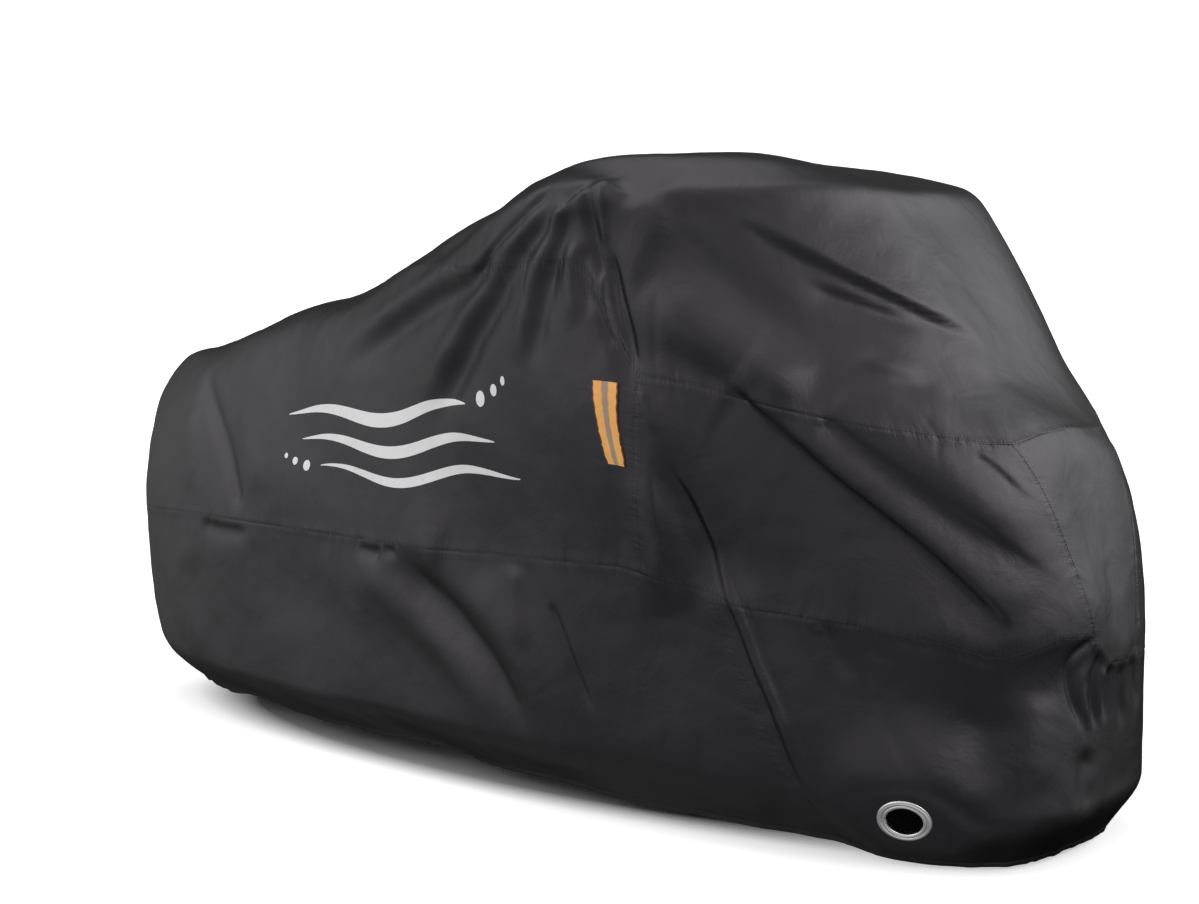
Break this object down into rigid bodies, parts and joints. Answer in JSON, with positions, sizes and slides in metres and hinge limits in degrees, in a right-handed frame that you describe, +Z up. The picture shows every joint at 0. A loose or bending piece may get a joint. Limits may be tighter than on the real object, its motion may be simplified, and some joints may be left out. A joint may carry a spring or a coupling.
{
  "type": "bicycle cover",
  "caption": "Black fitted outdoor cover for two bicycles, hollow, in its draped shape, with a metal eyelet and a reflective strip.",
  "frame": {"origin": "under the middle of the cover, about level with the lowest point of its hem", "axes": "+X towards the front of the covered bicycles, +Y towards their far side, +Z up"},
  "size_m": [2.0617, 0.87, 0.9778],
  "materials": {
    "cover_cloth": "satin",
    "eyelet_metal": "polished",
    "reflective_tape": "satin"
  },
  "bodies": {
    "root": {"top_panel": "cover_cloth", "rear_wrap": "cover_cloth", "side_near": "cover_cloth", "side_far": "cover_cloth", "nose_panel": "cover_cloth", "rear_skirt": "cover_cloth", "front_skirt": "cover_cloth", "eyelet": "eyelet_metal", "reflective_strip": "reflective_tape"}
  },
  "joints": []
}
